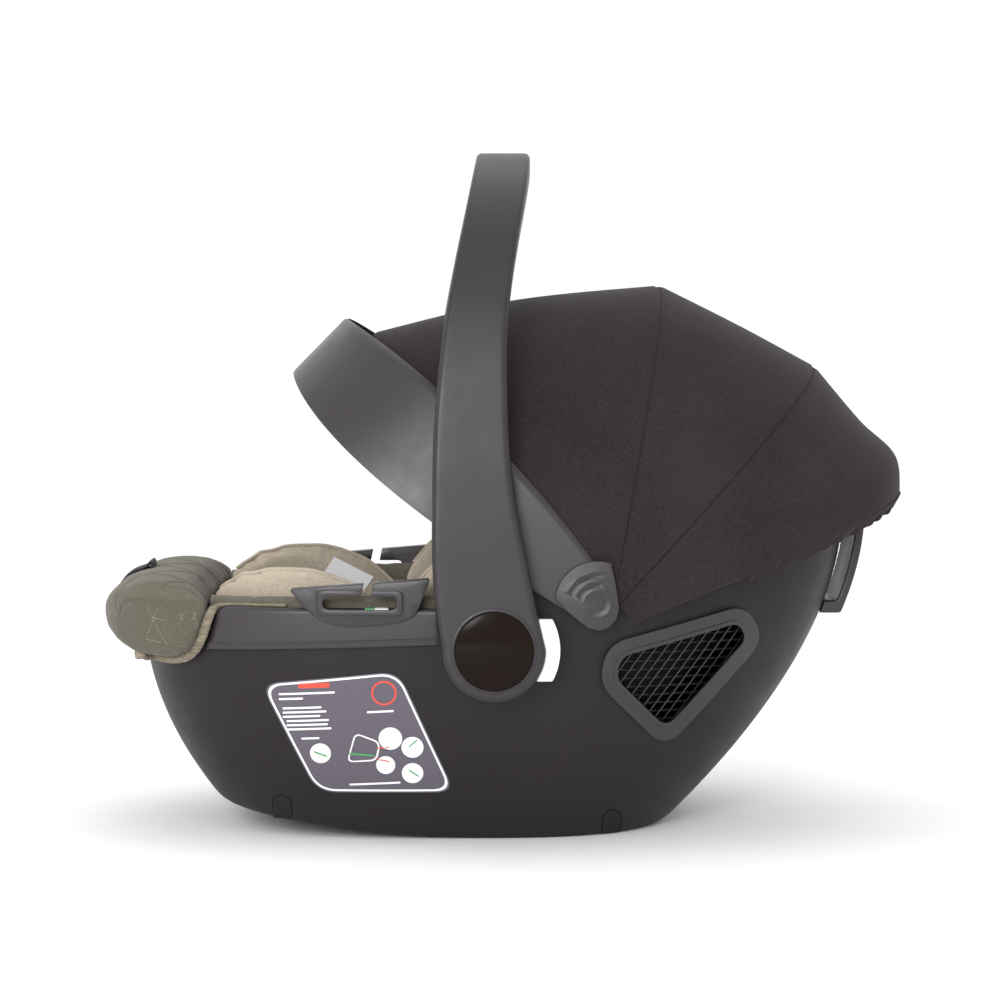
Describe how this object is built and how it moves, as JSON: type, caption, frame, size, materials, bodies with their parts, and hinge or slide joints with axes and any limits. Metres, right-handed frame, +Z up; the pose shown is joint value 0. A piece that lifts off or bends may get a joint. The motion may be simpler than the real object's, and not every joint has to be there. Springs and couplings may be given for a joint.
{
  "type": "infant car seat",
  "caption": "Rear-facing infant car seat with a carry handle, folding canopy, rocker base, harness and padded inserts.",
  "frame": {"origin": "on the floor, under the middle of the length and width", "axes": "+X to the head end, -Y to the child's left side, +Z up"},
  "size_m": [0.6878, 0.4436, 0.5719],
  "materials": {
    "shell_plastic": "matte",
    "satin_plastic": "satin",
    "gloss_dark": "gloss",
    "white_plastic": "satin",
    "red_plastic": "satin",
    "steel": "satin",
    "canopy_fabric": "matte",
    "cover_fabric": "matte",
    "insert_fabric": "matte",
    "webbing": "matte",
    "foam": "matte",
    "label_film": "satin",
    "rubber": "matte"
  },
  "bodies": {
    "seat": {"outer_shell": "shell_plastic", "rail_trim_left": "satin_plastic", "rail_trim_right": "satin_plastic", "belt_guide_left": "satin_plastic", "belt_guide_right": "satin_plastic", "vent_frame_left": "satin_plastic", "vent_frame_right": "satin_plastic", "vent_louvres_left": "satin_plastic", "vent_louvres_right": "satin_plastic", "rear_belt_guide": "satin_plastic", "buckle_housing": "satin_plastic", "lock_ring_left": "steel", "lock_ring_right": "steel", "pivot_bolt_left": "steel", "pivot_bolt_right": "steel", "canopy_pin_left": "steel", "canopy_pin_right": "steel", "buckle_tongue_left": "steel", "buckle_tongue_right": "steel", "adjuster_housing": "steel", "seat_cover": "cover_fabric", "foot_flap": "cover_fabric", "body_insert": "insert_fabric", "head_insert": "insert_fabric", "crotch_pad": "insert_fabric", "shoulder_pad_left": "insert_fabric", "shoulder_pad_right": "insert_fabric", "crotch_strap": "webbing", "adjuster_strap": "webbing", "shoulder_strap_left": "webbing", "shoulder_strap_right": "webbing", "foam_liner": "foam", "info_label_left": "label_film", "info_label_right": "label_film", "foot_plug_front_left": "rubber", "foot_plug_front_right": "rubber", "foot_plug_rear_left": "rubber", "foot_plug_rear_right": "rubber"},
    "handle": {"handle_bow": "satin_plastic", "handle_liner": "satin_plastic", "hub_cap_left": "gloss_dark", "hub_cap_right": "gloss_dark"},
    "release_button_left": {"release_button_left": "white_plastic"},
    "release_button_right": {"release_button_right": "white_plastic"},
    "lock_disc_left": {"lock_disc_left": "steel", "lock_spring_left": "steel"},
    "lock_disc_right": {"lock_disc_right": "steel", "lock_spring_right": "steel"},
    "rear_rib": {"canopy_rib_rear": "satin_plastic", "canopy_rear_panel": "canopy_fabric"},
    "middle_rib": {"canopy_rib_middle": "satin_plastic", "canopy_middle_panel": "canopy_fabric"},
    "visor": {"visor": "satin_plastic", "canopy_front_panel": "canopy_fabric", "canopy_hinge_cap_left": "satin_plastic", "canopy_hinge_cap_right": "satin_plastic"},
    "buckle_button": {"buckle_button": "red_plastic"},
    "adjuster_button": {"adjuster_button": "satin_plastic"}
  },
  "joints": [
    {"name": "handle_swing", "type": "hinge", "parent": "seat", "child": "handle", "pos_m": [-0.00748, 0, 0.1664], "axis": [0, 1, 0], "range_deg": [-90, 90]},
    {"name": "release_button_left", "type": "slide", "parent": "handle", "child": "release_button_left", "axis": [-1, 0, 0], "range_m": [0, 0.006], "stiffness_N_per_m": 400, "springref_m": -0.004},
    {"name": "lock_disc_left", "type": "slide", "parent": "handle", "child": "lock_disc_left", "axis": [0, -1, 0], "range_m": [0, 0.0044], "deforming": ["lock_spring_left"]},
    {"name": "release_button_right", "type": "slide", "parent": "handle", "child": "release_button_right", "axis": [-1, 0, 0], "range_m": [0, 0.006], "stiffness_N_per_m": 400, "springref_m": -0.004},
    {"name": "lock_disc_right", "type": "slide", "parent": "handle", "child": "lock_disc_right", "axis": [0, 1, 0], "range_m": [0, 0.0044], "deforming": ["lock_spring_right"]},
    {"name": "visor_fold", "type": "hinge", "parent": "middle_rib", "child": "visor", "pos_m": [0.07592, 0, 0.202], "axis": [0, 1, 0], "range_deg": [0, 44], "deforming": ["canopy_front_panel"]},
    {"name": "middle_rib_fold", "type": "hinge", "parent": "rear_rib", "child": "middle_rib", "pos_m": [0.07592, 0, 0.202], "axis": [0, 1, 0], "range_deg": [0, 24], "deforming": ["canopy_middle_panel"]},
    {"name": "rear_rib_fold", "type": "hinge", "parent": "seat", "child": "rear_rib", "pos_m": [0.07592, 0, 0.202], "axis": [0, 1, 0], "range_deg": [0, 17], "deforming": ["canopy_rear_panel"]},
    {"name": "buckle_button_press", "type": "slide", "parent": "seat", "child": "buckle_button", "axis": [0, 0, -1], "range_m": [0, 0.004], "stiffness_N_per_m": 500, "springref_m": -0.003},
    {"name": "adjuster_button_tip", "type": "hinge", "parent": "seat", "child": "adjuster_button", "pos_m": [-0.26108, 0, 0.205], "axis": [0, -1, 0], "range_deg": [0, 5], "stiffness_Nm_per_rad": 0.5, "springref_deg": -5.73}
  ],
  "couplings": [
    {"joint": "lock_disc_left", "follows": "release_button_left", "ratio": 0.73},
    {"joint": "lock_disc_right", "follows": "release_button_right", "ratio": 0.73},
    {"joint": "middle_rib_fold", "follows": "visor_fold", "ratio": 0.545},
    {"joint": "rear_rib_fold", "follows": "visor_fold", "ratio": 0.386}
  ]
}
